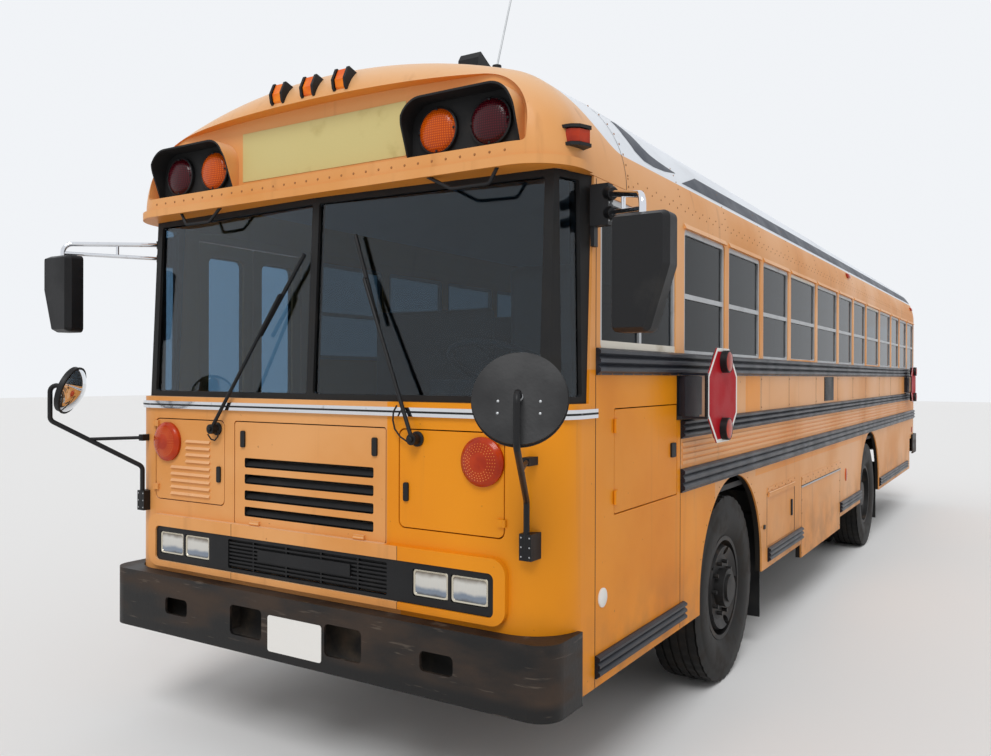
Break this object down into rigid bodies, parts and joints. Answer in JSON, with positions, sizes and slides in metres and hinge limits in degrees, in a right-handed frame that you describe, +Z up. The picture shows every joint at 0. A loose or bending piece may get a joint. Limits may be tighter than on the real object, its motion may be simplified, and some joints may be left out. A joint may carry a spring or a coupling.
{
  "type": "flat-nosed school bus",
  "caption": "Long flat-nosed school bus with folding stop arms, steering wheels, a split entry door, a rear exit and rows of bench seats.",
  "frame": {"origin": "on the ground, in the middle of the overall length and width", "axes": "+Z up, -Y towards the front, +X towards the driver's side"},
  "size_m": [3.274, 10.8676, 3.471],
  "materials": {
    "body_paint": "faded amber paint",
    "fresh_paint": "glossy amber paint",
    "roof_paint": "white paint",
    "black_metal": "black paint",
    "chassis_steel": "chassis black",
    "engine_iron": "cast",
    "bare_steel": "worn",
    "window_alloy": "satin",
    "bright_trim": "bright",
    "rubber": "matte",
    "tyre": "matte",
    "glass": "tinted",
    "lamp_clear": "clear lens",
    "lamp_amber": "amber lens",
    "lamp_red": "red lens",
    "black_plastic": "satin",
    "seat_vinyl": "vinyl",
    "floor_rubber": "ribbed",
    "sign_red": "reflective"
  },
  "bodies": {
    "coach": {"chassis_frame": "chassis_steel", "axles": "chassis_steel", "engine": "engine_iron", "fuel_tank": "chassis_steel", "exhaust": "bare_steel", "battery_box": "chassis_steel", "floor": "floor_rubber", "left_wall": "body_paint", "right_wall": "body_paint", "roof": "roof_paint", "front_cap": "body_paint", "front_fascia": "body_paint", "rear_wall": "body_paint", "windshield_frame": "rubber", "window_sashes": "window_alloy", "glass": "glass", "rub_rails": "black_metal", "trim_strip": "bright_trim", "grille": "black_plastic", "headlamps": "lamp_clear", "warning_hoods": "black_plastic", "amber_lamps": "lamp_amber", "red_lamps": "lamp_red", "bumpers": "black_metal", "mirror_arms": "bright_trim", "mirror_heads": "black_plastic", "mud_flaps": "rubber", "cap_fittings": "black_metal", "stop_boxes": "black_metal", "dashboard": "black_plastic", "seats": "seat_vinyl", "seat_frames": "chassis_steel"},
    "knuckle_left": {"knuckle_left": "engine_iron"},
    "knuckle_right": {"knuckle_right": "engine_iron"},
    "wheel_front_left": {"tyre_front_left": "tyre", "wheel_front_left": "black_metal"},
    "wheel_front_right": {"tyre_front_right": "tyre", "wheel_front_right": "black_metal"},
    "wheels_rear_left": {"tyres_rear_left": "tyre", "wheels_rear_left": "black_metal"},
    "wheels_rear_right": {"tyres_rear_right": "tyre", "wheels_rear_right": "black_metal"},
    "entry_leaf_front": {"entry_leaf_front": "body_paint", "entry_glass_front": "glass"},
    "entry_leaf_rear": {"entry_leaf_rear": "body_paint", "entry_glass_rear": "glass"},
    "rear_door": {"rear_door": "body_paint", "rear_door_glass": "glass"},
    "roof_hatch": {"roof_hatch": "roof_paint"},
    "engine_panel": {"engine_panel": "body_paint"},
    "front_door_left": {"front_door_left": "fresh_paint", "turn_lamp_left": "lamp_amber", "wiper_left": "black_metal"},
    "front_door_right": {"front_door_right": "body_paint", "turn_lamp_right": "lamp_amber", "wiper_right": "black_metal"},
    "side_access_door": {"side_access_door": "fresh_paint"},
    "battery_door": {"battery_door": "body_paint"},
    "stop_sign_front": {"stop_sign_front": "sign_red"},
    "stop_sign_rear": {"stop_sign_rear": "sign_red"}
  },
  "joints": [
    {"name": "steer_left", "type": "hinge", "parent": "coach", "child": "knuckle_left", "pos_m": [0.94, -2.88615, 0.51], "axis": [0, 0, 1], "range_deg": [-35, 35]},
    {"name": "steer_right", "type": "hinge", "parent": "coach", "child": "knuckle_right", "pos_m": [-0.94, -2.88615, 0.51], "axis": [0, 0, 1], "range_deg": [-35, 35]},
    {"name": "spin_front_left", "type": "hinge", "parent": "knuckle_left", "child": "wheel_front_left", "pos_m": [0.94, -2.88615, 0.51], "axis": [1, 0, 0], "continuous": true},
    {"name": "spin_front_right", "type": "hinge", "parent": "knuckle_right", "child": "wheel_front_right", "pos_m": [-0.94, -2.88615, 0.51], "axis": [1, 0, 0], "continuous": true},
    {"name": "spin_rear_left", "type": "hinge", "parent": "coach", "child": "wheels_rear_left", "pos_m": [0.94, 1.70385, 0.51], "axis": [1, 0, 0], "continuous": true},
    {"name": "spin_rear_right", "type": "hinge", "parent": "coach", "child": "wheels_rear_right", "pos_m": [-0.94, 1.70385, 0.51], "axis": [1, 0, 0], "continuous": true},
    {"name": "entry_front", "type": "hinge", "parent": "coach", "child": "entry_leaf_front", "pos_m": [-1.204, -4.58915, 1.48], "axis": [0, 0, 1], "range_deg": [0, 90]},
    {"name": "entry_rear", "type": "hinge", "parent": "coach", "child": "entry_leaf_rear", "pos_m": [-1.204, -3.83815, 1.48], "axis": [0, 0, -1], "range_deg": [0, 90]},
    {"name": "rear_exit", "type": "hinge", "parent": "coach", "child": "rear_door", "pos_m": [-0.459, 5.30885, 1.75], "axis": [0, 0, 1], "range_deg": [0, 110]},
    {"name": "hatch_lift", "type": "hinge", "parent": "coach", "child": "roof_hatch", "pos_m": [0, 1.52585, 3.108], "axis": [1, 0, 0], "range_deg": [0, 60]},
    {"name": "engine_panel_drop", "type": "hinge", "parent": "coach", "child": "engine_panel", "pos_m": [0, -4.99045, 1.0273], "axis": [1, 0, 0], "range_deg": [0, 90]},
    {"name": "front_door_left_swing", "type": "hinge", "parent": "coach", "child": "front_door_left", "pos_m": [0.987, -4.99045, 1.284], "axis": [0, 0, 1], "range_deg": [0, 90]},
    {"name": "front_door_right_swing", "type": "hinge", "parent": "coach", "child": "front_door_right", "pos_m": [-0.987, -4.99045, 1.284], "axis": [0, 0, -1], "range_deg": [0, 90]},
    {"name": "side_access_swing", "type": "hinge", "parent": "coach", "child": "side_access_door", "pos_m": [1.2003, -4.49715, 1.344], "axis": [0, 0, -1], "range_deg": [0, 90]},
    {"name": "battery_door_lift", "type": "hinge", "parent": "coach", "child": "battery_door", "pos_m": [1.2003, -1.83715, 0.958], "axis": [0, -1, 0], "range_deg": [0, 100]},
    {"name": "stop_arm_front", "type": "hinge", "parent": "coach", "child": "stop_sign_front", "pos_m": [1.33, -3.77515, 1.594], "axis": [0, 0, -1], "range_deg": [0, 90]},
    {"name": "stop_arm_rear", "type": "hinge", "parent": "coach", "child": "stop_sign_rear", "pos_m": [1.272, 4.27885, 1.594], "axis": [0, 0, -1], "range_deg": [0, 90]}
  ],
  "couplings": [
    {"joint": "steer_right", "follows": "steer_left", "ratio": 1},
    {"joint": "entry_rear", "follows": "entry_front", "ratio": 1}
  ]
}
